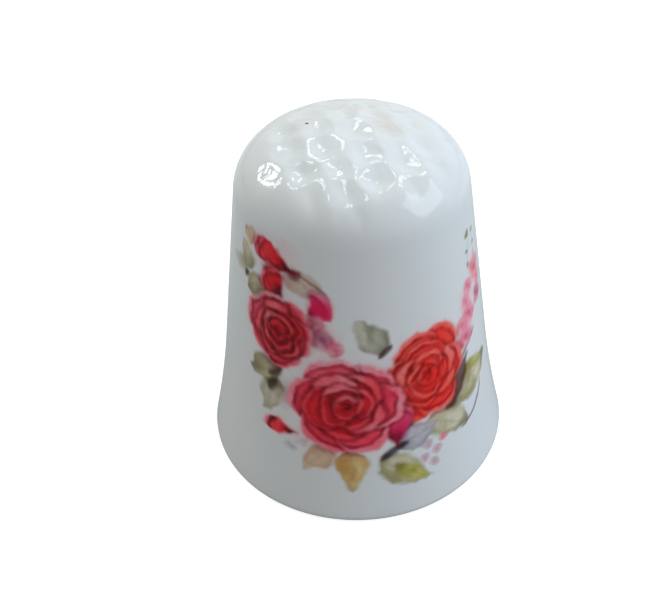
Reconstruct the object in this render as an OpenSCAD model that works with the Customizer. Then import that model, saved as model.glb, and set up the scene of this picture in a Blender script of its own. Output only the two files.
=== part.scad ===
// Souvenir china thimble: slip-cast porcelain body, a glaze coat outside and inside,
// and a rose garland of fired enamel prints on the front of the wall.
// Millimetres. +Z is up and the thimble stands on its open foot, centred on Z = 0.
// The garland faces -Y.

/* [Body] */
// Outside diameter at the foot
foot_d = 24; // [23:0.5:26]
// Outside diameter at the waist, where the flare meets the straight cone
waist_d = 20.4; // [19.8:0.2:21]
// Height of the waist above the foot
waist_h = 10.2; // [9:0.2:12]
// Height from the foot to the top of the crown
height = 27.7; // [26:0.1:29]
// Slope of the straight wall from vertical, in degrees
wall_slope = 7.7; // [6.5:0.1:8.5]
// Radius of the shoulder between wall and crown
shoulder_r = 4; // [3.5:0.1:4.5]
// Radius of the gently domed crown
crown_r = 17.3; // [15:0.1:25]
// Wall thickness, both glaze coats included
wall_t = 1.8; // [1.6:0.1:2.2]
// Radius of the rounded outer edge of the foot
foot_lip_r = 0.7; // [0.5:0.1:0.8]
// Radius of the rounded inner edge of the foot
mouth_lip_r = 0.3; // [0.25:0.05:0.4]

/* [Crown dimples] */
// Width of one needle dimple
dimple_d = 2.1; // [1.4:0.1:2.2]
// Depth of one needle dimple
dimple_depth = 0.2; // [0.15:0.05:0.35]
// Distance between rows of dimples
row_pitch = 2.3; // [2.2:0.1:2.8]
// Distance between dimples along a row
dimple_pitch = 2.5; // [2.2:0.1:3]
// Turn of the rows about Z, in degrees
row_turn = 18; // [0:1:45]
// Distance from the axis to the outermost dimples
dimple_field_r = 7.1; // [6:0.1:7.4]

/* [Coats] */
// Thickness of each glaze coat
glaze_t = 0.15; // [0.1:0.01:0.2]
// Thickness of the fired enamel prints
print_t = 0.04; // [0.03:0.01:0.06]

/* [Garland] */
// Radius at which distances along the garland are measured
garland_r = 10; // [10:10]
// Radius of the centre rose
rose_centre_r = 4.2; // [3.8:0.1:4.3]
// Radius of the right rose
rose_right_r = 3.6; // [3:0.1:3.8]
// Radius of the left rose
rose_left_r = 3; // [2.6:0.1:3.1]

/* [Hidden] */

foot_r = foot_d / 2;
waist_r = waist_d / 2;
lip_steps = 4;
flare_steps = 8;
shoulder_steps = 8;
crown_steps = 4;

// ---- Profile of the wall: a concave flare, a straight cone, a shoulder and a domed crown, all tangent ----

// Radius and centre of the concave flare, tangent to the cone at the waist and reaching the foot
flare_drop = waist_h - foot_lip_r;
flare_out = foot_r - waist_r;
flare_r = (pow(flare_out, 2) + pow(flare_drop, 2))
    / (2 * (flare_out * cos(wall_slope) - flare_drop * sin(wall_slope)));
flare_c = [waist_r + flare_r * cos(wall_slope), waist_h + flare_r * sin(wall_slope)];

// Centre of the shoulder arc, which touches the cone and lies inside the crown's sphere
crown_c = [0, height - crown_r];
cone_line = waist_r * cos(wall_slope) + waist_h * sin(wall_slope) - shoulder_r;
crown_along = [cos(wall_slope), sin(wall_slope)] * crown_c;
shoulder_off = cone_line - crown_along;
shoulder_up = sqrt(pow(crown_r - shoulder_r, 2) - pow(shoulder_off, 2));
shoulder_c = crown_c + shoulder_off * [cos(wall_slope), sin(wall_slope)]
    + shoulder_up * [-sin(wall_slope), cos(wall_slope)];
shoulder_end = atan2(shoulder_c.y - crown_c.y, shoulder_c.x);

// Centre of a foot edge of radius lip that touches the flare, offset inwards by side_off
function lip_centre(lip, side_off, z) =
    let (reach = flare_r + side_off)
    [flare_c.x - sqrt(pow(reach, 2) - pow(flare_c.y - z, 2)), z];
foot_lip_c = lip_centre(foot_lip_r, foot_lip_r, foot_lip_r);
mouth_lip_c = lip_centre(mouth_lip_r, wall_t - mouth_lip_r, mouth_lip_r);

function arc(centre, r, from, to, steps) =
    [for (i = [0:steps]) let (a = from + (to - from) * i / steps) centre + r * [cos(a), sin(a)]];
function flare_angle(p) = atan2(p.y - flare_c.y, p.x - flare_c.x);
function wrapped(a) = a < 0 ? a + 360 : a;

// Outline from the flare's foot end to the top of the crown, offset inwards by off
function wall_curve(off, from_angle) = concat(
    arc(flare_c, flare_r + off, from_angle, 180 + wall_slope, flare_steps),
    arc(shoulder_c, shoulder_r - off, wall_slope, shoulder_end, shoulder_steps),
    [for (p = arc(crown_c, crown_r - off, shoulder_end, 90, crown_steps)) if (p.x > 0.001) p],
    [[0, height - off]]
);
// Outside of a coat that lies off inside the glazed surface, from lip_start degrees round the foot edge
function outer_curve(off, lip_start = -90) =
    let (a = wrapped(flare_angle(foot_lip_c)))
    concat(
        arc(foot_lip_c, foot_lip_r - off, lip_start, a - 180, lip_steps),
        wall_curve(off, a)
    );
// Inside of a coat that lies off inside the glazed cavity surface
function cavity_curve(off, lip_start = 270) =
    let (a = wrapped(flare_angle(mouth_lip_c)))
    concat(
        arc(mouth_lip_c, mouth_lip_r - off, lip_start, a, lip_steps),
        wall_curve(wall_t - off, a)
    );
function reversed(list) = [for (i = [len(list) - 1:-1:0]) list[i]];
// Outside radius of the glazed wall at height z
function wall_r(z) = z < waist_h
    ? flare_c.x - sqrt(pow(flare_r, 2) - pow(flare_c.y - z, 2))
    : waist_r - (z - waist_h) * tan(wall_slope);

// ---- Crown dimples ----

dimple_sphere_r = (pow(dimple_d / 2, 2) + pow(dimple_depth, 2)) / (2 * dimple_depth);
// Point on the crown or shoulder at distance rho from the axis, and its outward normal
function on_crown(rho) =
    rho < crown_r * cos(shoulder_end)
        ? [asin(rho / crown_r), crown_c, crown_r]
        : [asin((rho - shoulder_c.x) / shoulder_r), shoulder_c, shoulder_r];
dimple_rows = floor(dimple_field_r / row_pitch);
dimple_columns = ceil(dimple_field_r / dimple_pitch);
dimple_places = [
    for (i = [-dimple_rows:dimple_rows])
        for (j = [-dimple_columns:dimple_columns])
            let (p = [i * row_pitch, (j + (i % 2 == 0 ? 0 : 0.5)) * dimple_pitch])
                if (norm(p) <= dimple_field_r) p
];
module dimple_spheres(grow) {
    for (p = dimple_places) {
        place = on_crown(norm(p));
        around = atan2(p.y, p.x) + row_turn;
        out = place[2] + dimple_sphere_r - dimple_depth;
        centre = place[1] + out * [sin(place[0]), cos(place[0])];
        rotate([0, 0, around])
            translate([centre.x, 0, centre.y])
                sphere(r = dimple_sphere_r + grow, $fn = 48);
    }
}

// ---- China body and glaze ----

module revolve(points) rotate_extrude($fn = 180) polygon(points);

module china_body() color("white") difference() {
    revolve(concat(
        [[mouth_lip_c.x, 0], [foot_lip_c.x, 0]],
        outer_curve(glaze_t),
        reversed(cavity_curve(glaze_t))
    ));
    dimple_spheres(glaze_t);
}

// Angle round an edge of radius lip at which it stands one coat above the bare foot
function bare_angle(lip) = asin((lip - glaze_t) / lip);
module outer_glaze() color("white") difference() {
    revolve(concat(outer_curve(0, -bare_angle(foot_lip_r)), [[0, glaze_t]]));
    difference() {
        revolve(concat([[0, 0], [foot_lip_c.x, 0]], outer_curve(glaze_t)));
        dimple_spheres(glaze_t);
    }
    dimple_spheres(0);
}

module inner_glaze() color("white") revolve(concat(
    cavity_curve(0, 180 + bare_angle(mouth_lip_r)),
    reversed(cavity_curve(glaze_t))
));

// ---- Shapes of the prints, as outlines on the unrolled wall ----

function turned(points, angle) =
    [for (p = points) [p.x * cos(angle) - p.y * sin(angle), p.x * sin(angle) + p.y * cos(angle)]];
function moved(points, by) = [for (p = points) p + by];
// Rose seen from above: a round with scalloped petals, wide and high
function rose_outline(r, tall, petals, turn, scallop = 0.05) =
    [for (a = [0:6:354]) let (k = r * (1 + scallop * cos(petals * (a - turn)))) [k * cos(a), k * tall * sin(a)]];
// Leaf from base to tip, widest near its base
function leaf_outline(base, tip, width) =
    let (
        along = tip - base,
        steps = 9,
        side = [for (i = [0:steps]) let (t = i / steps) [norm(along) * t, width / 2 * sin(180 * pow(t, 0.8))]],
        back = [for (i = [steps - 1:-1:1]) [side[i].x, -side[i].y]]
    )
    moved(turned(concat(side, back), atan2(along.y, along.x)), base);
// Oval petal or floret
function oval_outline(centre, across, tall, turn = 0) =
    moved(turned([for (a = [0:15:345]) [across * cos(a) / 2, tall * sin(a) / 2]], turn), centre);
// Tapered stroke along an arc from one point to another, bowed to its left
function stroke_outline(from, to, width, bow) =
    let (
        along = to - from,
        steps = 8,
        line = [for (i = [0:steps]) let (t = i / steps) [norm(along) * t, bow * sin(180 * t)]],
        half = [for (i = [0:steps]) width / 2 * (0.25 + 0.75 * sin(180 * i / steps))],
        upper = [for (i = [0:steps]) line[i] + [0, half[i]]],
        lower = [for (i = [steps:-1:0]) line[i] - [0, half[i]]]
    )
    moved(turned(concat(upper, lower), atan2(along.y, along.x)), from);

// Prism through the wall for outlines drawn about the place [distance along the garland, height]
module prism(place, outlines) {
    ratio = wall_r(place.y) / garland_r;
    rotate([0, 0, place.x / garland_r * 180 / PI])
        rotate([90, 0, 0])
            linear_extrude(height = foot_r + 2)
                for (points = outlines)
                    polygon([for (p = points) [(p.x - place.x) * ratio, p.y]]);
}
module coat_shell() revolve(concat(outer_curve(-print_t), reversed(outer_curve(0))));
// Enamel print: the children's prism, as a coat on the glazed wall
module enamel(name) color(name) intersection() {
    coat_shell();
    children();
}

// ---- Places of the roses, which the other prints are cut back from ----

rose_centre_at = [-0.5, 11];
rose_right_at = [5.2, 12.6];
rose_left_at = [-6, 16.3];
magenta_at = [2.4, 8.4];

module rose_centre_prism()
    prism(rose_centre_at, [moved(rose_outline(rose_centre_r, 1.02, 5, 20), rose_centre_at)]);
module rose_right_prism()
    prism(rose_right_at, [moved(rose_outline(rose_right_r * 0.9, 1.2, 5, 60), rose_right_at)]);
module rose_left_prism()
    prism(rose_left_at, [moved(rose_outline(rose_left_r, 0.9, 5, 5), rose_left_at)]);
module roses() {
    rose_centre_prism();
    rose_right_prism();
    rose_left_prism();
}
module red_bud_prism()
    prism([-6.9, 22.2], [
        leaf_outline([-5.9, 22], [-9.2, 23], 1.5),
        leaf_outline([-7.4, 22.6], [-4.3, 21.2], 1.4)
    ]);
module pink_bud_prism()
    prism([-6.9, 20.2], [oval_outline([-6.9, 20.2], 2.9, 1.9, 10)]);
module loose_petal_pink_prism()
    prism([-2.4, 19.2], [oval_outline([-2.4, 19.2], 2.3, 1.5, 30)]);
module petal_magenta_prism()
    prism(magenta_at, [oval_outline(magenta_at, 1.7, 3.2, -20)]);
module leaf_blue_grey_prism()
    prism([4.1, 7.4], [leaf_outline([2.7, 6.6], [5.5, 8.1], 2.2)]);
module leaf_green_mid_prism()
    prism([6.8, 7.2], [leaf_outline([5.0, 8.1], [8.7, 6.0], 2)]);
module leaf_green_large_prism()
    prism([9.4, 9.8], [leaf_outline([6.8, 9.2], [12.3, 9.9], 2.8)]);
module leaf_pale_green_prism()
    prism([3, 4.9], [leaf_outline([1.4, 5.9], [4.9, 3.3], 2.1)]);
module leaf_shadow_prism()
    prism([8.3, 10.2], [leaf_outline([7.2, 9], [9.4, 11.9], 1.7)]);

// ---- Enamel prints ----

module rose_centre() enamel("indianred") rose_centre_prism();

module rose_right() enamel("tomato") difference() {
    rose_right_prism();
    rose_centre_prism();
}

module rose_left() enamel("crimson") difference() {
    rose_left_prism();
    rose_centre_prism();
}

module petal_magenta() enamel("mediumvioletred") difference() {
    petal_magenta_prism();
    roses();
}

module red_bud() enamel("firebrick") red_bud_prism();

module bud_tip() enamel("tan") difference() {
    prism([-9.8, 23.2], [leaf_outline([-9, 23], [-10.5, 23.2], 0.7)]);
    red_bud_prism();
}

module pink_bud() enamel("palevioletred") difference() {
    pink_bud_prism();
    roses();
}

module loose_petal_pink() enamel("palevioletred") loose_petal_pink_prism();

module mauve_sprig() enamel("orchid") difference() {
    prism([-2.6, 17], [
        oval_outline([-2.8, 17.7], 1.2, 1),
        oval_outline([-2.5, 16.6], 1.1, 1.2)
    ]);
    roses();
}

module leaf_brown() enamel("rosybrown") difference() {
    prism([-3.8, 20.4], [leaf_outline([-5.5, 20.8], [-2.1, 19.9], 1.6)]);
    loose_petal_pink_prism();
    pink_bud_prism();
    red_bud_prism();
}

module leaves_left_upper() enamel("darkkhaki") difference() {
    prism([-10, 20.2], [
        leaf_outline([-9.4, 20], [-10.2, 21.9], 1.5),
        leaf_outline([-9.8, 19.4], [-12, 19.9], 0.9),
        leaf_outline([-9.6, 18.6], [-7.2, 19.5], 1.2)
    ]);
    roses();
    pink_bud_prism();
}

module leaves_left_lower() enamel("darkkhaki") difference() {
    prism([-7, 11.8], [
        leaf_outline([-5.8, 13], [-9, 11.7], 2.1),
        leaf_outline([-6, 11.6], [-7.6, 9.5], 1.7)
    ]);
    roses();
}

module leaf_top_centre() enamel("lightslategray") difference() {
    prism([1.1, 16.8], [leaf_outline([2, 15.5], [0.2, 18.2], 2.1)]);
    roses();
}

module fallen_petal_red() enamel("firebrick")
    prism([-5.9, 8.2], [stroke_outline([-7.3, 7.4], [-4.5, 8.3], 0.8, 0.6)]);

module leaf_ochre() enamel("goldenrod") difference() {
    prism([-0.5, 5], [leaf_outline([-0.5, 6.7], [-0.5, 3.3], 2.1)]);
    roses();
}

module leaf_pale_ochre() enamel("burlywood") difference() {
    prism([-2.7, 5.8], [leaf_outline([-1.9, 7], [-3.6, 4.8], 1.6)]);
    roses();
    prism([-0.5, 5], [leaf_outline([-0.5, 6.7], [-0.5, 3.3], 2.1)]);
}

module faint_sprig() enamel("thistle") difference() {
    prism([-4.5, 6.6], [
        oval_outline([-4.8, 6.3], 0.8, 1.1, 30),
        oval_outline([-4, 7], 0.8, 0.8)
    ]);
    roses();
}

module leaf_blue_grey() enamel("lightsteelblue") difference() {
    leaf_blue_grey_prism();
    roses();
    petal_magenta_prism();
}

module leaf_green_mid() enamel("darkseagreen") difference() {
    leaf_green_mid_prism();
    roses();
    leaf_blue_grey_prism();
}

module leaf_green_large() enamel("darkseagreen") difference() {
    leaf_green_large_prism();
    roses();
    leaf_green_mid_prism();
    leaf_shadow_prism();
}

module leaf_pale_green() enamel("darkkhaki") difference() {
    leaf_pale_green_prism();
    leaf_blue_grey_prism();
}

module leaf_shadow() enamel("darkslategray") difference() {
    leaf_shadow_prism();
    roses();
}

module stems() enamel("black") difference() {
    union() {
        prism([2.1, 15.4], [stroke_outline([1.7, 15.1], [2.4, 15.9], 0.4, 0)]);
        prism([2.5, 6.5], [stroke_outline([1.7, 6.1], [3.3, 7], 0.5, 0.1)]);
        prism([9.7, 6.9], [stroke_outline([8.2, 5.8], [11.2, 8.4], 0.25, -0.5)]);
        prism([9.5, 12.8], [stroke_outline([8.7, 11.9], [10.5, 13.5], 0.3, 0)]);
    }
    roses();
    leaf_blue_grey_prism();
    petal_magenta_prism();
    leaf_green_mid_prism();
    leaf_pale_green_prism();
    leaf_green_large_prism();
    blossom_spray_right_prism();
}

module blossom_sprig_low() enamel("thistle") difference() {
    prism([5.2, 5.2], [
        oval_outline([5.1, 6.1], 0.9, 0.8),
        oval_outline([5.6, 5.2], 0.9, 0.9),
        oval_outline([4.8, 4.8], 0.8, 0.7),
        oval_outline([5.4, 4.1], 0.7, 0.7),
        oval_outline([6.3, 6.1], 0.6, 0.6)
    ]);
    leaf_blue_grey_prism();
    leaf_green_mid_prism();
    leaf_pale_green_prism();
}

module blossom_spray_right_prism() prism([10.6, 15.4], [
    oval_outline([9.1, 13.7], 1.8, 1.7),
    oval_outline([10, 15.5], 1.9, 1.6),
    oval_outline([10.3, 17.2], 1.3, 1.2),
    oval_outline([12.2, 17.9], 1.7, 1.2),
    oval_outline([12.2, 15.6], 1.6, 1.3)
]);
module blossom_spray_right() enamel("palevioletred") difference() {
    blossom_spray_right_prism();
    roses();
}

module tip_buds_right() enamel("olive") prism([11.6, 20.4], [
    oval_outline([11.1, 21.3], 0.9, 0.6),
    oval_outline([12.3, 21.1], 0.8, 0.4),
    oval_outline([10.8, 20.1], 0.6, 0.4),
    oval_outline([12.2, 20.0], 0.6, 0.4),
    oval_outline([10.9, 18.9], 0.6, 0.5)
]);

china_body();
outer_glaze();
inner_glaze();
rose_centre();
rose_right();
rose_left();
red_bud();
bud_tip();
pink_bud();
loose_petal_pink();
mauve_sprig();
leaf_brown();
leaves_left_upper();
leaves_left_lower();
leaf_top_centre();
fallen_petal_red();
leaf_ochre();
leaf_pale_ochre();
faint_sprig();
petal_magenta();
leaf_blue_grey();
leaf_pale_green();
leaf_green_mid();
leaf_green_large();
leaf_shadow();
stems();
blossom_sprig_low();
blossom_spray_right();
tip_buds_right();
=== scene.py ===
"""Looks of the china thimble: glazed wall, dimpled crown and a rose garland printed in enamel."""

import math

import bpy
import numpy as np
from mathutils import Matrix, Vector


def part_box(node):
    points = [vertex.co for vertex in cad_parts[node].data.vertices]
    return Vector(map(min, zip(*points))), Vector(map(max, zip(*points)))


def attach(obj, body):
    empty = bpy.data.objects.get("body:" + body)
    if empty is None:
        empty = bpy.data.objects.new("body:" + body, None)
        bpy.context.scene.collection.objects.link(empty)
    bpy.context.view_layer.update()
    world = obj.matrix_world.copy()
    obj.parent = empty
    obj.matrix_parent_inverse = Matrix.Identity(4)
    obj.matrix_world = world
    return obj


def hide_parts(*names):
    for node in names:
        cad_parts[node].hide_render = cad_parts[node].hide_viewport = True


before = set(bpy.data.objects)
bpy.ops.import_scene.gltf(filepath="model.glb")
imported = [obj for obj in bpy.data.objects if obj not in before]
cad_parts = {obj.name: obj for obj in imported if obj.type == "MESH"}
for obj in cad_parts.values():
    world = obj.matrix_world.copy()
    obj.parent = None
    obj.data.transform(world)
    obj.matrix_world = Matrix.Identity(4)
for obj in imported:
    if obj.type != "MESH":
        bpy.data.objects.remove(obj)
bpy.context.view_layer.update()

MM = 0.001

# ---- Profile of the glazed wall, in mm, tangent all the way from foot to crown ----

FOOT_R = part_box("outer_glaze")[1].x / MM
WAIST_R = 0.85 * FOOT_R
WAIST_H = 10.2
CROWN_TOP = 27.7
SLOPE = math.radians(7.7)
SHOULDER_R = 4.0
CROWN_R = 17.3
FOOT_LIP_R = 0.7
MOUTH_LIP_R = 0.3
LIP_STEP = 0.08
WALL_T = 1.8
GLAZE_T = 0.15

CONE = np.array([math.cos(SLOPE), math.sin(SLOPE)])
flare_out, flare_up = FOOT_R - WAIST_R, WAIST_H - FOOT_LIP_R
FLARE_R = (flare_out**2 + flare_up**2) / 2 / (flare_out * CONE[0] - flare_up * CONE[1])
FLARE_C = np.array([WAIST_R, WAIST_H]) + FLARE_R * CONE
CROWN_C = np.array([0, CROWN_TOP - CROWN_R])
shoulder_off = WAIST_R * CONE[0] + WAIST_H * CONE[1] - SHOULDER_R - CROWN_C @ CONE
shoulder_up = math.sqrt((CROWN_R - SHOULDER_R) ** 2 - shoulder_off**2)
SHOULDER_C = CROWN_C + shoulder_off * CONE + shoulder_up * np.array([-CONE[1], CONE[0]])
SHOULDER_END = math.atan2(SHOULDER_C[1] - CROWN_C[1], SHOULDER_C[0])


def arc(centre, radius, from_angle, to_angle, step, hollow=False):
    """Points along an arc and the wall's normals there. On a hollow arc the normal points at its centre."""
    count = max(4, math.ceil(abs(radius * (to_angle - from_angle)) / step))
    angles = np.linspace(from_angle, to_angle, count + 1)
    way = np.stack([np.cos(angles), np.sin(angles)], 1)
    return centre + radius * way, -way if hollow else way


def wall_profile(inward, lip, lip_angle, step, fine):
    """Points and outward normals from a foot edge of radius lip to the apex, inward of the outside.

    step spaces the rings up the wall, and fine those over shoulder and crown.
    """
    inside = inward > 0
    reach = FLARE_R + (inward - lip if inside else lip)
    lip_c = np.array([FLARE_C[0] - math.sqrt(reach**2 - (FLARE_C[1] - lip) ** 2), lip])
    flare_angle = math.atan2(lip_c[1] - FLARE_C[1], lip_c[0] - FLARE_C[0]) % (2 * math.pi)
    lip_end = flare_angle if inside else flare_angle - math.pi
    edge = arc(lip_c, lip, lip_angle, lip_end, LIP_STEP, hollow=inside)
    flare = arc(FLARE_C, FLARE_R + inward, flare_angle, math.pi + SLOPE, step, hollow=True)
    shoulder = arc(SHOULDER_C, SHOULDER_R - inward, SLOPE, SHOULDER_END, fine)
    crown = arc(CROWN_C, CROWN_R - inward, SHOULDER_END, math.pi / 2, fine)
    rise = shoulder[0][0] - flare[0][-1]
    rungs = np.linspace(0, 1, math.ceil(np.linalg.norm(rise) / step) + 1)[1:-1, None]
    cone = (flare[0][-1] + rungs * rise, np.repeat(CONE[None], len(rungs), 0))
    runs = [edge, (flare[0][1:], flare[1][1:]), cone, shoulder, (crown[0][1:], crown[1][1:])]
    return np.concatenate([r[0] for r in runs]), np.concatenate([r[1] for r in runs])


# ---- Relief of the crown: rows of pressed dimples between soft ridges ----

ROW_PITCH = 2.3
DIMPLE_PITCH = 2.5
ROW_TURN = math.radians(18)
DIMPLE_FIELD_R = 7.1
DIMPLE_REACH = 1.5
RELIEF = 0.3
RIDGE_ROUND = 0.08
RIPPLE = 0.02
PRESSED_C = (0.2, -1.1)
PRESSED_FULL_R, PRESSED_END_R = 4.4, 8.2


def smooth(low, high, value):
    """Smooth step from 0 at low to 1 at high."""
    t = np.clip((value - low) / (high - low), 0, 1)
    return t * t * (3 - 2 * t)


def cloud(seed, cell, x, y):
    """Smooth noise from -1 to 1 with features about one cell across."""
    x, y = (x - x.min()) / cell, (y - y.min()) / cell
    knots = np.random.default_rng(seed).uniform(-1, 1, (int(y.max()) + 2, int(x.max()) + 2))
    i, j = y.astype(int), x.astype(int)
    fx, fy = smooth(0, 1, x - j), smooth(0, 1, y - i)
    low = knots[i, j] * (1 - fx) + knots[i, j + 1] * fx
    high = knots[i + 1, j] * (1 - fx) + knots[i + 1, j + 1] * fx
    return low * (1 - fy) + high * fy


def dimple_places():
    """Centres of the dimples, in rows that shift half a pitch each, with a jitter."""
    draw = np.random.default_rng(4)
    rows = math.floor(DIMPLE_FIELD_R / ROW_PITCH)
    columns = math.ceil(DIMPLE_FIELD_R / DIMPLE_PITCH)
    places = []
    for i in range(-rows, rows + 1):
        for j in range(-columns, columns + 1):
            place = np.array([i * ROW_PITCH, (j + 0.5 * (i % 2)) * DIMPLE_PITCH])
            if np.linalg.norm(place) <= DIMPLE_FIELD_R:
                places.append(place + draw.uniform(-0.16, 0.16, 2))
    return np.array(places)


def relief(x, y):
    """How far the glaze dips below the smooth crown at each point, in mm."""
    across = x * math.cos(ROW_TURN) + y * math.sin(ROW_TURN)
    up_row = y * math.cos(ROW_TURN) - x * math.sin(ROW_TURN)
    across = across + 0.35 * cloud(21, 2.6, x, y) + 0.12 * cloud(25, 1.0, x, y)
    up_row = up_row + 0.45 * cloud(22, 2.2, x, y) + 0.15 * cloud(26, 0.9, x, y)
    draw = np.random.default_rng(9)
    pull = np.full(x.shape, 1e-30)
    depth = np.zeros(x.shape)
    for place in dimple_places():
        near_it = np.exp(-np.hypot(across - place[0], (up_row - place[1]) * 0.75) / RIDGE_ROUND)
        pull += near_it
        depth += near_it * draw.uniform(0.65, 1.15)
    bowl = np.clip(1 + RIDGE_ROUND * np.log(pull) / DIMPLE_REACH, 0, 1)
    bowl = smooth(0, 1.1, bowl)
    rippled = RIPPLE * (0.6 * cloud(23, 0.45, x, y) + 1.6 * cloud(24, 0.85, x, y)) * smooth(0, 0.3, bowl)
    off_centre = np.hypot(x - PRESSED_C[0], y - PRESSED_C[1])
    pressed = smooth(PRESSED_END_R, PRESSED_FULL_R, off_centre)
    return RELIEF * bowl * depth / pull * pressed + rippled * (0.3 + 0.7 * pressed)


# ---- Meshes ----

TURNS = 288


def ring_faces(rings, first, flip):
    """Quads between rings of TURNS vertices, and a fan to the apex that follows them."""
    here = first + np.arange(TURNS)
    there = first + (np.arange(TURNS) + 1) % TURNS
    faces = []
    for k in range(rings - 1):
        quad = np.stack([here, there, there + TURNS, here + TURNS], 1) + k * TURNS
        faces.extend(quad[:, ::-1].tolist() if flip else quad.tolist())
    apex = first + rings * TURNS
    last = (rings - 1) * TURNS
    fan = np.stack([here + last, there + last, np.full(TURNS, apex)], 1)
    faces.extend(fan[:, ::-1].tolist() if flip else fan.tolist())
    return faces


def revolved(profile, depth, pressed):
    """Vertices of a profile turned about Z, moved inwards by depth, and by the relief where pressed."""
    points, normals = profile
    angles = 2 * math.pi * np.arange(TURNS) / TURNS
    out, up = points[:-1, 0, None], points[:-1, 1, None]
    tilt_out, tilt_up = normals[:-1, 0, None], normals[:-1, 1, None]
    sunk = np.full((len(out), TURNS), float(depth))
    apex_sunk = depth
    if pressed:
        x, y = out * np.cos(angles), out * np.sin(angles)
        apex_sunk = depth + relief(np.append(x, 0), np.append(y, 0))[-1]
        above_cone = tilt_up > CONE[1] + 0.01
        sunk = depth + np.where(above_cone, relief(x, y), 0)
    far = out - sunk * tilt_out
    ring = np.stack([far * np.cos(angles), far * np.sin(angles), up - sunk * tilt_up], 2)
    return np.concatenate([ring.reshape(-1, 3), [[0, 0, points[-1, 1] - apex_sunk]]])


def add_mesh(name, vertices, faces):
    """A smooth-shaded object from vertices in mm."""
    mesh = bpy.data.meshes.new(name)
    mesh.from_pydata((np.asarray(vertices) * MM).tolist(), [], faces)
    mesh.polygons.foreach_set("use_smooth", np.ones(len(mesh.polygons), bool))
    mesh.update()
    piece = bpy.data.objects.new(name, mesh)
    bpy.context.scene.collection.objects.link(piece)
    return piece


def shell(name, outer, inner):
    """Closed shell between two turned surfaces that both run from the foot to the apex."""
    turns = np.arange(TURNS)
    rings = [(len(vertices) - 1) // TURNS for vertices in (outer, inner)]
    first = len(outer)
    faces = ring_faces(rings[0], 0, flip=False) + ring_faces(rings[1], first, flip=True)
    after = (turns + 1) % TURNS
    faces.extend(np.stack([after, turns, first + turns, first + after], 1).tolist())
    return add_mesh(name, np.concatenate([outer, inner]), faces)

# ---- Canvas of the garland: the front of the wall, unrolled ----
# Distances along the garland are in mm at GARLAND_R from the axis, and heights are in mm above the foot.

GARLAND_R = 10
CANVAS_STEP = 0.05
CANVAS_LEFT, CANVAS_RIGHT = -13.0, 14.0
CANVAS_BOTTOM, CANVAS_TOP = 2.4, 24.2
along, height = np.meshgrid(
    np.arange(CANVAS_LEFT, CANVAS_RIGHT, CANVAS_STEP),
    np.arange(CANVAS_BOTTOM, CANVAS_TOP, CANVAS_STEP),
)
SWAY_ALONG = cloud(1, 0.9, along, height) + 0.5 * cloud(2, 0.4, along, height)
SWAY_UP = cloud(3, 0.9, along, height) + 0.5 * cloud(4, 0.4, along, height)
GRAIN = 0.5 * cloud(5, 0.35, along, height) + 0.5 * cloud(6, 0.15, along, height)
WASH = 0.6 * cloud(7, 1.6, along, height) + 0.4 * cloud(8, 0.7, along, height)


def ink(code):
    """An sRGB colour from its hex code, from 0 to 1."""
    return np.array([int(code[i : i + 2], 16) for i in (0, 2, 4)]) / 255


paint = np.empty(along.shape + (3,))
paint[:] = ink("eeeeec")
cover = np.zeros(along.shape)
owner = np.full(along.shape, -1)
owners = []


def start(name):
    """The strokes that follow belong to this print."""
    owners.append(name)


def near(place, reach):
    """The window of the canvas within reach of a place."""
    low_row = int((place[1] - reach - CANVAS_BOTTOM) / CANVAS_STEP)
    low_column = int((place[0] - reach - CANVAS_LEFT) / CANVAS_STEP)
    span = int(2 * reach / CANVAS_STEP) + 1
    rows = slice(max(low_row, 0), max(low_row + span, 0))
    return rows, slice(max(low_column, 0), max(low_column + span, 0))


def mix(a, b, share):
    """From colour a to colour b by a share that may differ from point to point."""
    return a + (b - a) * np.clip(share, 0, 1)[..., None]


def lay(window, mask, colour):
    """Lays a colour, or one per point, over what is there."""
    mask = np.clip(mask, 0, 1)
    cover[window] = 1 - (1 - cover[window]) * (1 - mask)
    paint[window] = mix(paint[window], colour, mask / np.maximum(cover[window], 1e-6))
    fresh = (mask > 0.03) & (owner[window] < 0)
    owner[window] = np.where(fresh | (mask > 0.3), len(owners) - 1, owner[window])


def shade(window, mask, colour):
    """Multiplies what is already laid by a colour."""
    mask = np.clip(mask, 0, 1) * smooth(0.0, 0.5, cover[window])
    paint[window] = mix(paint[window], paint[window] * colour, mask)


def local(window, centre, turn, sway):
    """Coordinates about a centre, along and across a direction at turn degrees, with a hand's sway."""
    across = along[window] - centre[0] + sway * SWAY_ALONG[window]
    up = height[window] - centre[1] + sway * SWAY_UP[window]
    c, s = math.cos(math.radians(turn)), math.sin(math.radians(turn))
    return across * c + up * s, up * c - across * s


# ---- Brushes ----

LEAF_SWAY, LEAF_SOFT = 0.2, 0.25
PETAL_SWAY, PETAL_SOFT = 0.15, 0.2
STROKE_SWAY = 0.05


def spot(place, size, colour, strength=0.8, turn=0, soft=0.5, sway=0.12):
    """Soft oval dab. soft is the share of its radius over which it fades."""
    window = near(place, max(size))
    x, y = local(window, place, turn, sway)
    gap = np.hypot(x / (size[0] / 2), y / (size[1] / 2))
    lay(window, strength * smooth(1 + soft * 0.4, 1 - soft, gap), colour)


def sweep(a, b, bow, width, colour, strength=0.9, soft=0.1):
    """Tapered stroke from a to b, bowed to its left."""
    step = np.subtract(b, a)
    length = math.hypot(*step)
    window = near(np.add(a, b) / 2, length / 2 + abs(bow) + width)
    x, y = local(window, a, math.degrees(math.atan2(step[1], step[0])), STROKE_SWAY)
    t = np.clip(x / length, 0, 1)
    rise = 4 * t * (1 - t)
    gap = np.hypot(x - length * t, y - bow * rise)
    half = width / 2 * (0.15 + 0.85 * np.sqrt(rise))
    lay(window, strength * smooth(half + soft, half - soft, gap), colour)


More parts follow.
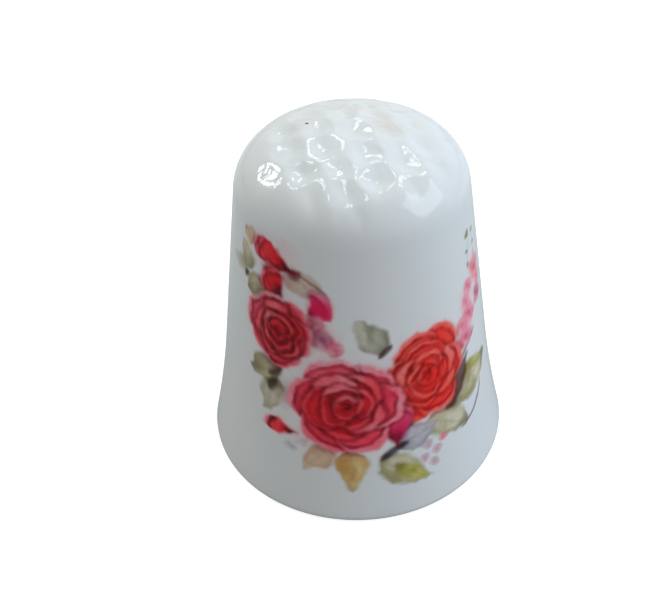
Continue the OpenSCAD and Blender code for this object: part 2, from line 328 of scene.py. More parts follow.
def leaf(base, tip, width, tones, bow=0.0, shadow=0.5, tip_shadow=0.4, strength=0.9):
    """Watery leaf: pale inside, darker towards its edges, base and tip, with a faint midrib and veins."""
    pale, mid, dark = tones
    step = np.subtract(tip, base)
    length = math.hypot(*step)
    window = near(np.add(base, tip) / 2, length / 2 + width / 2)
    x, y = local(window, base, math.degrees(math.atan2(step[1], step[0])), LEAF_SWAY)
    wash, grain = WASH[window], GRAIN[window]
    t = np.clip(x / length, 0, 1)
    y = y - 4 * bow * t * (1 - t)
    half = width / 2 * np.sin(math.pi * t**0.8) ** 0.8
    inside = half - np.abs(y) - np.abs(x - length * t)
    across = np.clip(y / np.maximum(half, 0.1), -1, 1)
    colour = mix(pale, mid, 0.25 - 0.5 * across + 1.3 * wash + 0.2 * grain)
    colour = mix(colour, mid, smooth(0.35, 1.0, np.abs(across)) * (0.6 + 0.9 * wash))
    veins = smooth(0.6, 1.0, np.cos(2 * math.pi * (4 * t - np.abs(across))))
    colour = mix(colour, mid * 0.8, 0.13 * veins * (1 - np.abs(across)))
    colour = mix(colour, dark, shadow * smooth(0.42, 0.0, t + 0.2 * wash))
    colour = mix(colour, dark, tip_shadow * smooth(0.7, 1.05, t + 0.2 * wash))
    rib = smooth(0.12, 0.02, np.abs(y)) * smooth(0.95, 0.6, t)
    colour = mix(colour, mid * 0.7, 0.28 * rib)
    lay(window, strength * smooth(-LEAF_SOFT, LEAF_SOFT, inside), colour)


def petal(core, heading, spread, reach, fold, tones, slant=0.0, light=0.0, hollow=0.35):
    """One rose petal: a fan from its core with a turned-over rim.

    heading and spread are in degrees, reach and fold in mm. tones are deep, mid, pale and rim. slant
    makes the fold wider on one side, light goes from -1 to 1, and hollow is how far out the deep tone
    reaches.
    """
    deep, mid, pale, rim = tones
    window = near(core, reach * 1.15)
    x, y = local(window, core, heading, PETAL_SWAY)
    wash, grain = WASH[window], GRAIN[window]
    radius, angle = np.hypot(x, y), np.arctan2(y, x)
    half = math.radians(spread) / 2
    off = np.clip(angle / half, -1.6, 1.6)
    edge = reach * (1 - 0.3 * np.abs(off) ** 2.4) * (1 + 0.03 * np.cos(3.3 * off + heading))
    width = fold * np.clip(1 - np.abs(off) ** 1.7 + slant * off, 0, 2)
    inside = edge - radius
    side = (1 - np.abs(off)) * radius * half
    mask = smooth(-PETAL_SOFT, PETAL_SOFT, inside) * smooth(-PETAL_SOFT, PETAL_SOFT, side)
    cast = smooth(-0.55, 0.05, inside) * smooth(-0.4, 0.1, side) * (1 - mask)
    shade(window, 0.6 * cast, deep / np.maximum(pale, 0.3))
    t = radius / np.maximum(edge, 0.05)
    colour = mix(deep, mid, smooth(hollow - 0.15, hollow + 0.25, t + 0.12 * wash + 0.1 * light))
    colour = mix(colour, pale, (0.55 + 0.35 * light) * smooth(0.5, 1.0, t + 0.3 * wash + 0.15 * light))
    colour = mix(colour, rim, smooth(0.35, 1.1, light) * smooth(0.45, 0.85, t + 0.3 * wash) * 0.7)
    streaks = np.cos(angle * 26 + 6 * wash + heading)
    colour = mix(colour, mid * 0.85, 0.14 * smooth(0.1, 1.0, streaks) * smooth(0.3, 0.8, t))
    folded = smooth(0.02, 0.12, width)
    crease = smooth(0.36, 0.04, np.abs(inside - width - 0.08)) * folded
    colour = mix(colour, deep, (0.5 + 0.6 * wash) * crease)
    turned = smooth(0.05, -0.08, inside - width) * folded
    blush = mix(pale, rim, 0.4 + 0.5 * light + 0.7 * wash + 0.15 * grain)
    colour = mix(colour, blush, 0.85 * turned)
    colour = mix(colour, blush, 0.25 * smooth(0.25, 0.02, inside) * (1 - turned))
    lay(window, mask, colour + 0.03 * grain[..., None])


def heart(core, size, tones, turn):
    """The tight spiral at a rose's core."""
    deep, mid, _, _ = tones
    window = near(core, size * 1.2)
    x, y = local(window, core, turn, 0.08)
    radius, angle = np.hypot(x, y), np.arctan2(y, x)
    swirl = np.cos(angle - radius / size * 5.5)
    colour = mix(deep, mid, 0.35 + 0.45 * swirl + 0.2 * GRAIN[window])
    lay(window, smooth(size, size * 0.75, radius), colour)


def bloom(centre, radius, tall, tones, seed, counts, lit):
    """Rings of petals that tighten towards the centre, with counts petals from the outermost ring in."""
    draw = np.random.default_rng(seed)
    turn = draw.uniform(0, 360)
    for ring, count in enumerate(counts):
        inward = ring / (len(counts) - 0.4)
        size = radius * (1 - 0.8 * inward)
        turn += 180 / count + draw.uniform(-12, 12)
        for k in range(count):
            heading = turn + 360 * k / count + draw.uniform(-10, 10)
            light = 0.6 * math.cos(math.radians(heading - lit)) + draw.uniform(-0.6, 0.6)
            upright = 1 + (tall - 1) * math.sin(math.radians(heading)) ** 2
            spread = 360 / count * draw.uniform(1.35, 1.6)
            fold = size * draw.uniform(0.08, 0.28) * (1 + 0.5 * light)
            reach = size * upright * draw.uniform(0.93, 1.07)
            petal(centre, heading, spread, reach, fold, tones, draw.uniform(-0.5, 0.5), light)
    heart(centre, radius * 0.17, tones, turn)

# ---- The garland ----

CRIMSON = (ink("5a0610"), ink("e03842"), ink("fc606a"), ink("ffa0a8"))
BLUSH = (ink("7e0c20"), ink("ec4c5e"), ink("ff8492"), ink("ffc4cc"))
CORAL = (ink("8a0e10"), ink("fb463e"), ink("ff6c62"), ink("ff9c94"))
DUSK = (ink("6a0a1a"), ink("dc485a"), ink("f47888"), ink("fcb0ba"))
MAGENTA = (ink("7e0c2e"), ink("dc3060"), ink("f06488"), ink("fcb4c8"))
SCARLET = (ink("56060e"), ink("d82c36"), ink("f4565e"), ink("fb98a0"))

OLIVE = (ink("dcd2b8"), ink("998f62"), ink("3a3016"))
MOSS = (ink("c8b890"), ink("7e6e44"), ink("2a1e0a"))
LIME = (ink("d2ca7c"), ink("968e36"), ink("443c10"))
SAGE = (ink("e4dac2"), ink("a09662"), ink("2e260c"))
GREY_GREEN = (ink("d8d2c2"), ink("88866e"), ink("44403a"))
BLUE_GREY = (ink("cec8d0"), ink("8a8898"), ink("302636"))
OCHRE = (ink("eed49c"), ink("c4923e"), ink("744a18"))
TAN = (ink("e8ccae"), ink("caa078"), ink("98744a"))
BROWN = (ink("e4d0c2"), ink("bc9c8c"), ink("744238"))
HALO = ink("ffccd2")


def halo(place, size):
    """Faint blush that bleeds out round a flower."""
    spot(place, size, HALO, 0.5, 0, 0.8, 0.3)


OUTER_PETALS = 6
INNER_PETALS = (5, 4, 3)


def rose(centre, radius, tall, outer, inner, seed, lit):
    """An open rose: wide outer petals round a tighter bloom, all placed by rule and by seed."""
    draw = np.random.default_rng(seed)
    halo(centre, (2 * radius + 0.8, 2 * radius * tall + 0.6))
    turn = draw.uniform(0, 60)
    for k in range(OUTER_PETALS):
        heading = turn + 360 * k / OUTER_PETALS + draw.uniform(-10, 10)
        upright = 1 + (tall - 1) * math.sin(math.radians(heading)) ** 2
        light = 0.6 * math.cos(math.radians(heading - lit)) + draw.uniform(-0.3, 0.3)
        reach = radius * upright * draw.uniform(0.94, 1.04)
        petal(centre, heading, 88, reach, 0.13 * radius, outer, draw.uniform(-0.4, 0.4), light, 0.5)
    bloom(centre, 0.68 * radius, tall, inner, seed + 1, INNER_PETALS, lit)


def bud(base, tip, width, tones, edge_tones):
    """A closed bud: two side petals that meet over a middle one."""
    step = np.subtract(tip, base)
    length, heading = math.hypot(*step), math.degrees(math.atan2(step[1], step[0]))
    spread = 2 * math.degrees(math.atan2(width, length))
    halo(np.add(base, tip) / 2, (length + 1.2, length * 0.6 + 1.2))
    petal(base, heading, spread, length, 0.3, edge_tones, 0.0, 0.4)
    for side, light in ((1, 0.3), (-1, -0.1)):
        petal(base, heading + side * spread / 5, spread * 0.7, length * 0.9, 0.25, tones, 0.3 * side, light)


def paint_left_spray():
    """Buds, leaves and loose petals above and beside the left rose."""
    start("leaves_left_upper")
    leaf((-9.2, 19.9), (-10.5, 22.0), 1.9, OLIVE, shadow=0.15, tip_shadow=0.1)
    leaf((-9.6, 19.6), (-12.1, 19.9), 1.1, OLIVE, shadow=0.2, tip_shadow=0.0, strength=0.7)
    leaf((-9.8, 18.4), (-7.0, 19.8), 1.7, OLIVE, shadow=0.3, tip_shadow=0.2)
    sweep((-10.0, 19.1), (-9.5, 19.6), 0.05, 0.5, ink("2c2818"), 0.9, 0.16)
    start("leaf_brown")
    leaf((-5.8, 20.9), (-1.9, 19.8), 2.0, BROWN, bow=0.1, shadow=0.35, tip_shadow=0.1)
    sweep((-4.6, 21.4), (-2.1, 20.2), 0.03, 0.15, ink("6d5043"), 0.8, 0.06)
    start("bud_tip")
    leaf((-8.5, 22.5), (-10.5, 22.8), 1.0, TAN, shadow=0.2, tip_shadow=0.7)
    start("red_bud")
    bud((-4.7, 21.3), (-8.7, 22.6), 1.5, CRIMSON, BLUSH)
    start("pink_bud")
    bud((-5.9, 19.2), (-7.6, 21.0), 2.3, SCARLET, BLUSH)
    start("loose_petal_pink")
    halo((-2.6, 19.2), (2.8, 2.4))
    petal((-3.7, 18.3), 34, 96, 2.3, 0.5, MAGENTA, 0.2, 0.6, 0.15)
    start("mauve_sprig")
    halo((-2.3, 16.7), (2.6, 3.4))
    floret((-3.0, 17.7), 1.7, ink("cc506c"))
    floret((-2.5, 16.5), 1.8, ink("962e50"))
    floret((-1.5, 15.8), 1.5, ink("e8607c"))


def paint_lower_left():
    """Leaves, the fallen petal and faint flowers below the left rose."""
    start("leaves_left_lower")
    spot((-5.6, 11.0), (1.8, 3.4), ink("d3c1b4"), 0.5, 0, 0.7)
    leaf((-5.8, 13.0), (-8.8, 11.9), 2.3, MOSS, shadow=0.5, tip_shadow=0.1, strength=0.85)
    leaf((-6.1, 12.1), (-7.3, 8.7), 1.9, OLIVE, shadow=0.9, tip_shadow=0.0, strength=0.75)
    sweep((-6.9, 12.2), (-5.7, 13.2), -0.1, 0.6, ink("3a2410"), 0.8, 0.25)
    sweep((-6.8, 10.9), (-6.2, 11.9), 0.1, 0.7, ink("3a2d10"), 0.85, 0.25)
    start("fallen_petal_red")
    halo((-5.9, 7.9), (3.2, 1.8))
    petal((-4.4, 7.8), 180, 44, 2.8, 0.4, CRIMSON, -0.3, 0.4)
    start("faint_sprig")
    spot((-4.8, 6.4), (0.9, 1.5), ink("b09aa2"), 0.5, 30, 0.7, 0.3)
    spot((-4.0, 7.2), (1.3, 1.0), ink("cfa8b0"), 0.45, 0, 0.7, 0.3)


def paint_leaves():
    """Leaves that lie behind the centre and right roses."""
    start("leaf_top_centre")
    leaf((2.0, 15.3), (0.1, 18.3), 2.3, GREY_GREEN, bow=-0.1, shadow=0.2, tip_shadow=0.1)
    start("leaf_pale_ochre")
    leaf((-1.8, 7.3), (-3.7, 4.7), 2.0, TAN, shadow=0.2, tip_shadow=0.1, strength=0.85)
    start("leaf_ochre")
    leaf((-0.5, 7.1), (-0.5, 3.3), 2.3, OCHRE, bow=0.1, shadow=0.5, tip_shadow=0.3)
    start("leaf_pale_green")
    leaf((1.3, 6.3), (4.9, 3.2), 2.4, SAGE, bow=-0.15, shadow=0.1, tip_shadow=0.1)
    leaf((2.4, 5.4), (5.2, 3.2), 1.0, LIME, bow=-0.2, shadow=0.5, tip_shadow=0.3)
    start("leaf_green_large")
    leaf((6.7, 8.9), (12.7, 9.9), 3.2, SAGE, bow=0.15, shadow=0.3, tip_shadow=0.85)
    leaf((8.2, 10.4), (12.4, 9.9), 0.9, LIME, bow=0.35, shadow=0.6, tip_shadow=0.9, strength=0.8)
    start("leaf_green_mid")
    leaf((4.8, 8.3), (9.0, 5.9), 2.5, SAGE, bow=0.15, shadow=0.15, tip_shadow=0.4)
    start("leaf_shadow")
    leaf((6.6, 8.4), (9.6, 11.9), 1.6, (ink("5c4438"), ink("3e2420"), ink("201416")))
    start("leaf_blue_grey")
    leaf((2.6, 6.9), (5.7, 7.9), 2.6, BLUE_GREY, bow=0.1, shadow=0.2, tip_shadow=0.1)
    sweep((2.8, 7.7), (4.8, 9.1), 0.35, 0.6, ink("30202a"), 0.9, 0.2)
    start("stems")
    sweep((1.6, 15.0), (2.6, 15.9), 0.0, 0.5, ink("40292b"), 0.9, 0.16)
    sweep((1.5, 5.9), (3.5, 7.1), 0.15, 0.6, ink("2a2026"), 0.9, 0.2)
    sweep((8.1, 5.75), (11.2, 8.3), -0.55, 0.22, ink("3c342e"), 0.85, 0.1)
    sweep((8.6, 11.7), (10.9, 13.4), 0.1, 0.3, ink("6d4a5a"), 0.8, 0.15)


def floret(place, size, colour):
    """Small blossom of five soft petals."""
    for k in range(5):
        heading = math.radians(72 * k + 70 * size)
        at = (place[0] + 0.25 * size * math.cos(heading), place[1] + 0.25 * size * math.sin(heading))
        tone = mix(colour, ink("ffd8de"), np.array(0.1 + 0.15 * ((2 * k) % 5)))
        spot(at, (0.66 * size, 0.52 * size), tone, 0.8, 72 * k, 0.6)
    spot(place, (0.35 * size, 0.3 * size), colour * 0.72, 0.5, 0, 0.8)


# Florets of the right-hand spray from its foot up: place and size in mm, and colour.
SPRAY_FLORETS = (
    ((8.4, 13.1), 1.5, "f2708a"),
    ((9.6, 13.4), 1.9, "e8607c"),
    ((9.1, 14.6), 1.7, "f67c94"),
    ((10.3, 15.0), 1.9, "ee6684"),
    ((10.0, 16.2), 1.5, "f88ca2"),
    ((10.5, 17.3), 1.5, "f07892"),
    ((12.1, 18.1), 2.1, "ee6a6c"),
    ((12.5, 16.9), 1.5, "f68a9c"),
    ((12.2, 15.6), 1.8, "c03058"),
)

# Closed buds on the spray's two threads: place and size in mm, colour, strength and turn in degrees.
TIP_BUDS = (
    ((11.1, 21.3), (0.9, 0.6), "857a30", 0.9, 20),
    ((12.3, 21.1), (0.8, 0.4), "8b8c4c", 0.8, 10),
    ((10.8, 20.0), (0.6, 0.45), "6a7074", 0.85, 0),
    ((12.3, 20.0), (0.65, 0.4), "9a9ea0", 0.7, 0),
    ((10.9, 18.9), (0.6, 0.5), "8a828c", 0.8, 0),
)


def paint_blossoms():
    """Small flowers and buds of the right-hand spray and of the low sprig."""
    start("blossom_sprig_low")
    for place, size in (((5.0, 6.2), 0.9), ((5.7, 5.4), 1.0), ((4.7, 5.1), 0.9), ((5.4, 4.4), 0.8)):
        floret(place, size, ink("ccb8c0"))
    floret((6.3, 6.15), 0.8, ink("ee7f98"))
    start("blossom_spray_right")
    for place, size in (((9.2, 13.9), (3.4, 3.4)), ((10.2, 16.2), (2.4, 3.6)), ((12.1, 17.2), (2.6, 3.8))):
        halo(place, size)
    for place, size, code in SPRAY_FLORETS:
        floret(place, size, ink(code))
    start("tip_buds_right")
    sweep((12.0, 18.3), (12.3, 21.2), -0.1, 0.1, ink("8a8768"), 0.5)
    sweep((10.9, 18.5), (11.4, 21.2), 0.1, 0.1, ink("8a8768"), 0.5)
    for place, size, code, strength, turn in TIP_BUDS:
        spot(place, size, ink(code), strength, turn)


def paint_roses():
    """The three roses, the centre one last because it overlaps the others."""
    start("rose_left")
    rose((-6.2, 16.3), 3.1, 1.0, DUSK, SCARLET, 31, 120)
    start("rose_right")
    rose((5.4, 12.5), 3.6, 1.12, CORAL, CORAL, 41, 100)
    start("petal_magenta")
    petal((2.7, 6.9), 92, 66, 3.9, 0.4, MAGENTA, -0.3, 0.4)
    start("rose_centre")
    rose((-0.8, 10.9), 4.3, 1.0, BLUSH, CRIMSON, 51, 60)


paint_left_spray()
paint_lower_left()
paint_leaves()
paint_blossoms()
paint_roses()

# ---- Materials ----


class Graph:
    """A small builder for node materials."""

    def __init__(self, tree):
        self.nodes, self.links = tree.nodes, tree.links
        self.shader = tree.nodes.get("Principled BSDF")

    def add(self, kind, **settings):
        """Adds a node. A setting is a node property, or an input by name or place if it isn't one."""
        node = self.nodes.new(kind)
        for key, value in settings.items():
            if hasattr(node, key):
                setattr(node, key, value)
            else:
                self.put(node.inputs[key.replace("_", " ").title()], value)
        return node

    def put(self, socket, value):
        """Links an output to an input, or sets the input to a value."""
        if isinstance(value, bpy.types.NodeSocket):
            self.links.new(value, socket)
        else:
            socket.default_value = value

    def where(self):
        """Place on the object in its own metres."""
        return self.add("ShaderNodeTexCoord").outputs["Object"]

    def noise(self, scale, detail):
        """Noise over the object, from 0 to 1, with scale waves to the metre."""
        return self.add("ShaderNodeTexNoise", vector=self.where(), scale=scale, detail=detail).outputs["Fac"]

    def ramp(self, value, low, high, low_out=0.0, high_out=1.0):
        """Smooth step from low_out at low to high_out at high."""
        node = self.add("ShaderNodeMapRange")
        node.interpolation_type = "SMOOTHSTEP"
        for place, item in enumerate((value, low, high, low_out, high_out)):
            self.put(node.inputs[place], item)
        return node.outputs["Result"]

    def blend(self, factor, a, b, mode="MIX"):
        """Colour a mixed with colour b by a factor."""
        node = self.add("ShaderNodeMix", data_type="RGBA", blend_type=mode)
        self.put(node.inputs[0], factor)
        self.put(node.inputs[6], a)
        self.put(node.inputs[7], b)
        return node.outputs[2]

    def math(self, operation, a, b):
        """The result of one sum on two values."""
        node = self.add("ShaderNodeMath", operation=operation)
        self.put(node.inputs[0], a)
        self.put(node.inputs[1], b)
        return node.outputs[0]

    def set(self, key, value):
        """Sets an input of the surface shader by its name."""
        self.put(self.shader.inputs[key], value)

    def bump(self, height, strength, distance):
        """Fine surface texture from a height, distance deep in metres."""
        node = self.add("ShaderNodeBump", strength=strength, distance=distance)
        self.put(node.inputs["Height"], height)
        self.links.new(node.outputs["Normal"], self.shader.inputs["Normal"])


def new_material(name):
    """A material with nodes, and the graph that builds it."""
    material = bpy.data.materials.new(name)
    material.use_nodes = True
    return material, Graph(material.node_tree)


def distance(graph, place):
    """How far a point of the object is from a place in mm, in metres."""
    gap = graph.add("ShaderNodeVectorMath", operation="DISTANCE")
    graph.put(gap.inputs[0], graph.where())
    gap.inputs[1].default_value = [c * MM for c in place]
    return gap.outputs["Value"]


def reflection_patch(graph, place, reach):
    """Soft uneven mask about a place, reaching about reach mm, for a painted reflection."""
    reach = reach * MM
    wavy = graph.math("MULTIPLY", graph.noise(420, 3), reach)
    return graph.ramp(graph.math("ADD", distance(graph, place), wavy), 0.55 * reach, 1.5 * reach, 1.0, 0.0)


GLAZE_WHITE = (0.85, 0.84, 0.82, 1)
GLAZE_COOL = (0.83, 0.838, 0.835, 1)
# Beige of the room's reflection, painted on the crown.
REFLECTION_BEIGE = (0.78, 0.70, 0.61, 1)

# Faint beige painted reflections of the room and dark specks on the crown: place in mm, reach in mm, and
# strength or tone.
CROWN_REFLECTIONS = (
    ((-2.9, 1.7, 27.3), 1.7, 0.3),
    ((0.2, 3.1, 27.3), 1.5, 0.4),
    ((2.6, 0.8, 27.3), 2.0, 0.5),
)
SPECKS = (((-3.0, 1.3, 27.3), 0.13, 0.12), ((-1.1, -0.3, 27.5), 0.07, 0.45))


def glaze_colour(graph):
    """White glaze with a slow drift of tint, faint beige painted reflections of the room and dark specks on
    the crown.
    """
    colour = graph.blend(graph.ramp(graph.noise(90, 2), 0.35, 0.65), GLAZE_WHITE, GLAZE_COOL)
    # Painted reflection: beige patches where the crown mirrors the dim room.
    for place, reach, strength in CROWN_REFLECTIONS:
        mask = graph.math("MULTIPLY", reflection_patch(graph, place, reach), strength)
        colour = graph.blend(mask, colour, REFLECTION_BEIGE)
    for place, size, tone in SPECKS:
        dot = graph.ramp(distance(graph, place), 0.6 * size * MM, 1.4 * size * MM, 1.0, 0.0)
        colour = graph.blend(dot, colour, (tone, tone * 0.95, tone * 0.85, 1))
    return colour


def glossy(graph):
    """Fired gloss: faint orange peel and slightly uneven shine."""
    graph.set("Roughness", graph.ramp(graph.noise(700, 3), 0.3, 0.7, 0.045, 0.095))
    graph.set("IOR", 1.5)
    graph.bump(graph.noise(650, 2), 0.12, 0.02 * MM)


def glaze_material():
    """The glossy white glaze."""
    material, graph = new_material("white_glaze")
    graph.set("Base Color", glaze_colour(graph))
    glossy(graph)
    return material


def print_material():
    """Enamel under a gloss, in the colours painted on the print, thinning out to the glaze's white."""
    material, graph = new_material("enamel_print")
    layer = graph.add("ShaderNodeAttribute")
    layer.attribute_name = "enamel"
    grain = graph.ramp(graph.noise(5200, 3), 0.3, 0.7, 0.93, 1.05)
    colour = graph.blend(1.0, layer.outputs["Color"], grain, "MULTIPLY")
    graph.set("Base Color", graph.blend(layer.outputs["Alpha"], glaze_colour(graph), colour))
    glossy(graph)
    graph.set("Specular IOR Level", graph.ramp(layer.outputs["Alpha"], 0.0, 1.0, 0.5, 0.13))
    return material


BISQUE_CLEAN = (0.78, 0.75, 0.69, 1)
BISQUE_WORN = (0.66, 0.61, 0.53, 1)


def bisque_material():
    """Bare fired china: matt, fine grained and a little stained where the foot rubs its shelf."""
    material, graph = new_material("bisque_china")
    worn = graph.ramp(graph.noise(900, 4), 0.42, 0.7)
    graph.set("Base Color", graph.blend(worn, BISQUE_CLEAN, BISQUE_WORN))
    graph.set("Roughness", graph.ramp(graph.noise(3000, 3), 0.3, 0.7, 0.55, 0.8))
    graph.bump(graph.noise(9000, 4), 0.5, 0.03 * MM)
    return material


# ---- Build the china ----

CAST_GAP = 0.002

# Spacing of the rings in mm, first up the wall and then over shoulder and crown.
FACE_STEPS = (0.35, 0.11)
BACK_STEPS = (0.6, 0.2)
CAVITY_STEPS = (0.35, 0.3)
CAST_CAVITY_STEPS = (0.6, 0.4)

bare_outer = -math.asin((FOOT_LIP_R - GLAZE_T) / FOOT_LIP_R)
bare_inner = math.pi + math.asin((MOUTH_LIP_R - GLAZE_T) / MOUTH_LIP_R)
outside = wall_profile(0, FOOT_LIP_R, bare_outer, *FACE_STEPS)
outside_back = wall_profile(0, FOOT_LIP_R, bare_outer, *BACK_STEPS)
cast_outside = wall_profile(0, FOOT_LIP_R, -math.pi / 2, *BACK_STEPS)
cavity = wall_profile(WALL_T, MOUTH_LIP_R, bare_inner, *CAVITY_STEPS)
cast_cavity = wall_profile(WALL_T, MOUTH_LIP_R, 1.5 * math.pi, *CAST_CAVITY_STEPS)

white_glaze = glaze_material()
enamel = print_material()


def dress(piece, node, material):
    """Gives a piece its material and hangs it on the frame in place of a CAD node."""
    piece.data.materials.append(material)
    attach(piece, "root")
    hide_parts(node)


glaze_outside = shell("glaze_outside", revolved(outside, 0, True), revolved(outside_back, GLAZE_T, True))
dress(glaze_outside, "outer_glaze", white_glaze)
glaze_inside = shell("glaze_inside", revolved(cavity, -GLAZE_T, False), revolved(cavity, 0, False))
dress(glaze_inside, "inner_glaze", white_glaze)
cast_face = revolved(cast_outside, GLAZE_T + CAST_GAP, True)
cast_back = revolved(cast_cavity, -GLAZE_T - CAST_GAP, False)
dress(shell("china_cast", cast_face, cast_back), "china_body", bisque_material())

# ---- Build the prints from the painted canvas ----

FILM_EDGE = 0.003
FILM_T = 0.028
FILM_SINK = 0.012
SMALLEST_ISLAND = 14
RICHNESS = 1.28
DENSITY = 0.96
SOFTENING = 5
OWNER_BLUR = 6
THINNEST_COVER = 0.06
FULL_COVER = 0.7
MENDING_ROUNDS = 12
BORDER_ROUNDS = 3


def blurred(field, times):
    """A field smoothed times over, each time with its nearest neighbours."""
    for _ in range(times):
        padded = np.pad(field, 1, mode="edge")
        field = (padded[:-2, 1:-1] + padded[2:, 1:-1] + 2 * padded[1:-1, 1:-1]) / 4
        padded = np.pad(field, 1, mode="edge")
        field = (padded[1:-1, :-2] + padded[1:-1, 2:] + 2 * padded[1:-1, 1:-1]) / 4
    return field


def cell_owners():
    """The print that each canvas cell belongs to, or -1 where the glaze is bare."""
    best = np.zeros(along.shape)
    vertex_owner = np.full(along.shape, -1)
    for k in range(len(owners)):
        share = blurred((owner == k).astype(float), OWNER_BLUR)
        better = share > best + 1e-6
        best[better] = share[better]
        vertex_owner[better] = k
    full = blurred(cover, 1)
    quad = (full[:-1, :-1] + full[1:, :-1] + full[:-1, 1:] + full[1:, 1:]) / 4
    cells = np.where(quad > THINNEST_COVER, vertex_owner[:-1, :-1], -1)
    for _ in range(MENDING_ROUNDS):
        a, b, c, d = cells[:-1, :-1], cells[:-1, 1:], cells[1:, :-1], cells[1:, 1:]
        down = (a == d) & (a >= 0) & (b != a) & (c != a)
        up = (b == c) & (b >= 0) & (a != b) & (d != b)
        if not (down.any() or up.any()):
            break
        b[down] = a[down]
        a[up & ~down] = c[up & ~down]
    return cells


def islands(mask):
    """Groups of cells of a mask that share edges, as lists of (row, column)."""
    left = set(zip(*np.nonzero(mask)))
    groups = []
    while left:
        stack = [left.pop()]
        group = list(stack)
        while stack:
            i, j = stack.pop()
            for n in ((i + 1, j), (i - 1, j), (i, j + 1), (i, j - 1)):
                if n in left:
                    left.remove(n)
                    stack.append(n)
                    group.append(n)
        groups.append(group)
    return groups


def film(name, mask, colours):
    """A print's enamel: a thin closed coat over the canvas cells in mask."""
    for group in islands(mask):
        if len(group) < SMALLEST_ISLAND:
            for i, j in group:
                mask[i, j] = False
    rows, columns = np.nonzero(mask)
    width = along.shape[1]
    low = rows * width + columns
    quads = np.stack([low, low + 1, low + width + 1, low + width], 1)
    used, flat = np.unique(quads, return_inverse=True)
    quads = flat.reshape(quads.shape)
    count = len(used)
    edges = np.concatenate([quads[:, [k, (k + 1) % 4]] for k in range(4)])
    key = np.sort(edges, 1)
    _, first, times = np.unique(key, axis=0, return_index=True, return_counts=True)
    border = edges[first[times == 1]]
    u, v = along.ravel()[used], height.ravel()[used]
    after, before = np.arange(count), np.arange(count)
    after[border[:, 0]] = border[:, 1]
    before[border[:, 1]] = border[:, 0]
    for _ in range(BORDER_ROUNDS):
        u = (u + (u[after] + u[before]) / 2) / 2
        v = (v + (v[after] + v[before]) / 2) / 2
    thick = FILM_EDGE + (FILM_T - FILM_EDGE) * smooth(THINNEST_COVER, FULL_COVER, cover.ravel()[used])
    top, bottom = on_wall(u, v, thick), on_wall(u, v, -FILM_SINK)
    sides = np.stack([border[:, 1], border[:, 0], border[:, 0] + count, border[:, 1] + count], 1)
    faces = quads.tolist() + (quads[:, ::-1] + count).tolist() + sides.tolist()
    piece = add_mesh(name, np.concatenate([top, bottom]), faces)
    outward = on_wall(u, v, 1.0) - on_wall(u, v, 0.0)
    piece.data.normals_split_custom_set_from_vertices(np.concatenate([outward, -outward]).tolist())
    layer = piece.data.attributes.new("enamel", "FLOAT_COLOR", "POINT")
    layer.data.foreach_set("color", np.tile(colours[used], (2, 1)).astype(np.float32).ravel())
    return piece


def on_wall(u, v, lift):
    """Points on the glazed wall at garland distance u and height v, raised by lift along the normal."""
    points, normals = outside
    r = np.interp(v, points[:, 1], points[:, 0])
    n_out = np.interp(v, points[:, 1], normals[:, 0])
    n_up = np.interp(v, points[:, 1], normals[:, 1])
    r, z = r + lift * n_out, v + lift * n_up
    turn = u / GARLAND_R
    return np.stack([r * np.sin(turn), -r * np.cos(turn), z], 1)


def linear(colour):
    """Linear light from sRGB."""
    return np.where(colour <= 0.04045, colour / 12.92, ((colour + 0.055) / 1.055) ** 2.4)


soft_paint = np.stack([blurred(paint[..., k], SOFTENING) for k in range(3)], 2)
grey = soft_paint.mean(2, keepdims=True)
rich_paint = np.clip(DENSITY * (grey + RICHNESS * (soft_paint - grey)), 0, 1)
colours = np.concatenate([linear(rich_paint), np.clip(blurred(cover, 1), 0, 1)[..., None]], 2)
colours = colours.reshape(-1, 4)
cells = cell_owners()
for number, name in enumerate(owners):
    piece = film("print_" + name, cells == number, colours)
    dress(piece, name, enamel)

# ---- Stage: a plain pale floor, soft studio light and the camera, in mm and radians ----

CAMERA_TILT = 0.7119
CAMERA_DISTANCE = 78.0
CAMERA_AIM = Vector((-1.61, 0, 12.40)) * MM
CAMERA_ROLL = -0.0432
CAMERA_LENS = 53.67
AIM_CENTRE_H = 11.5

FLOOR_NEAR = (0.45, 0.45, 0.45, 1), (0.49, 0.49, 0.49, 1)
FLOOR_BEHIND = (0.86, 0.88, 0.88, 1)
FLOOR_GLOW = 0.85
ROOM_FRONT = (0.18, 0.155, 0.13, 1)
ROOM_BEHIND = (0.70, 0.72, 0.68, 1)
ROOM_RIGHT = (0.72, 0.81, 0.95, 1)
ROOM_ABOVE = (0.44, 0.48, 0.49, 1)
WHITE = (1, 1, 1, 1)
WINDOW_COLOUR = (0.92, 0.98, 1.0)


def add_floor():
    """A plain pale floor that the camera sees as white, and gloss sees grey in front and pale behind."""
    bpy.ops.mesh.primitive_plane_add(size=6)
    floor = bpy.context.object
    floor.name = "studio_floor"
    material, graph = new_material("pale_floor")
    tint = graph.ramp(graph.noise(30, 3), 0.3, 0.7)
    near_front = graph.blend(tint, *FLOOR_NEAR)
    split = graph.add("ShaderNodeSeparateXYZ")
    graph.put(split.inputs[0], graph.where())
    behind = graph.ramp(split.outputs["Y"], 10 * MM, 60 * MM)
    graph.set("Base Color", graph.blend(behind, near_front, FLOOR_BEHIND))
    graph.set("Roughness", 0.8)
    graph.set("Specular IOR Level", 0.1)
    ray = graph.add("ShaderNodeLightPath").outputs["Is Camera Ray"]
    graph.set("Emission Color", WHITE)
    graph.set("Emission Strength", graph.math("MULTIPLY", ray, FLOOR_GLOW))
    floor.data.materials.append(material)


def add_light(name, place, aim, size, power, colour):
    """A square soft light at place, facing aim, both in mm."""
    data = bpy.data.lights.new(name, "AREA")
    data.shape, data.size, data.energy, data.color = "SQUARE", size * MM, power, colour
    light = bpy.data.objects.new(name, data)
    light.location = Vector(place) * MM
    light.rotation_euler = (Vector(place) - Vector(aim)).to_track_quat("Z", "Y").to_euler()
    bpy.context.scene.collection.objects.link(light)


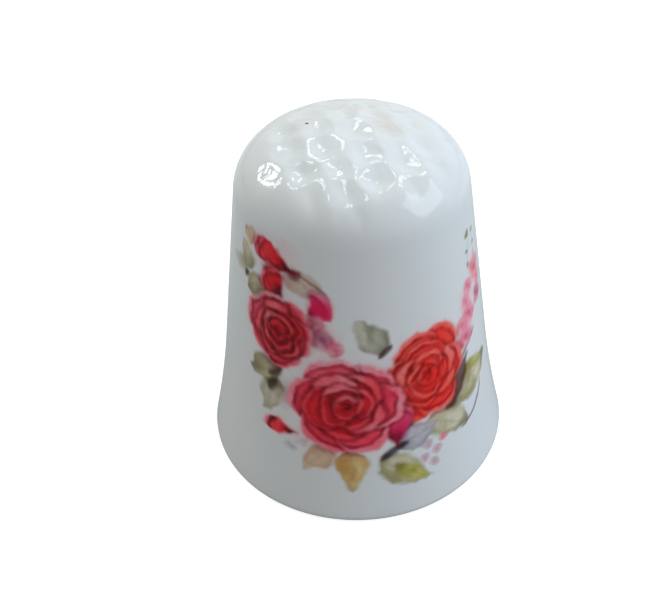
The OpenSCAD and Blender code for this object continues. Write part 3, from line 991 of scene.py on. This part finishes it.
def add_window(name, place, aim, pane, power):
    """Four small square panes round a place, facing aim, so that gloss shows them as separate glints."""
    place, aim = Vector(place), Vector(aim)
    right = (aim - place).cross(Vector((0, 1, 0))).normalized()
    up = right.cross(aim - place).normalized()
    for k, (across, rise) in enumerate(((-1, -1), (1, -1), (-1, 1), (1, 1))):
        at = place + 0.7 * pane * (across * right + rise * up)
        add_light(f"{name}_{k}", at, aim, pane, power / 4, WINDOW_COLOUR)


def add_world():
    """Soft room: mid grey above, dim in front, brighter behind, and cool to the right."""
    world = bpy.data.worlds.new("studio")
    world.use_nodes = True
    graph = Graph(world.node_tree)
    split = graph.add("ShaderNodeSeparateXYZ")
    graph.put(split.inputs[0], graph.add("ShaderNodeTexCoord").outputs["Generated"])
    behind = graph.ramp(split.outputs["Y"], -0.8, 0.6)
    walls = graph.blend(behind, ROOM_FRONT, ROOM_BEHIND)
    walls = graph.blend(graph.ramp(split.outputs["X"], -0.1, 0.9), walls, ROOM_RIGHT)
    sky = graph.ramp(split.outputs["Z"], 0.1, 0.95)
    room = graph.blend(sky, walls, ROOM_ABOVE)
    seen = graph.add("ShaderNodeLightPath").outputs["Is Camera Ray"]
    graph.put(graph.nodes["Background"].inputs["Color"], graph.blend(seen, room, WHITE))
    bpy.context.scene.world = world


def add_camera():
    """The camera that stands in front of the garland and looks down at it."""
    data = bpy.data.cameras.new("camera")
    data.sensor_width, data.lens, data.clip_start, data.clip_end = 36, CAMERA_LENS, 0.001, 20
    camera = bpy.data.objects.new("camera", data)
    back = CAMERA_DISTANCE * MM * math.cos(CAMERA_TILT)
    place = Vector((0, -back, AIM_CENTRE_H * MM + CAMERA_DISTANCE * MM * math.sin(CAMERA_TILT)))
    forward = (CAMERA_AIM - place).normalized()
    right = forward.cross(Vector((0, 0, 1))).normalized()
    up = right.cross(forward)
    turned_right = right * math.cos(CAMERA_ROLL) + up * math.sin(CAMERA_ROLL)
    turned_up = up * math.cos(CAMERA_ROLL) - right * math.sin(CAMERA_ROLL)
    facing = Matrix((turned_right, turned_up, -forward)).transposed()
    camera.matrix_world = Matrix.Translation(place) @ facing.to_4x4()
    bpy.context.scene.collection.objects.link(camera)
    bpy.context.scene.camera = camera


CROWN = (0, 0, 26)

# Small windows that glint on the crown: name, place and pane size in mm, and power in watts.
WINDOWS = (
    ("skylight_front", (-10, -20, 260), 17, 0.028),
    ("skylight_back", (20, 110, 250), 17, 0.028),
    ("skylight_far", (-30, 200, 210), 17, 0.028),
    ("skylight_left", (-190, 120, 190), 24, 0.07),
    ("skylight_between", (-90, 60, 250), 17, 0.028),
    ("skylight_right", (130, 80, 230), 17, 0.028),
)

add_floor()
add_light("ceiling_softbox", (0, 80, 300), (0, 0, 20), 420, 0.1, (0.98, 1.0, 0.99))
for name, place, pane, power in WINDOWS:
    add_window(name, place, CROWN, pane, power)
add_light("window_right", (170, -20, 120), (0, 0, 10), 130, 0.125, (0.74, 0.87, 1.0))
add_world()
add_camera()
bpy.context.scene.view_settings.view_transform = "Standard"
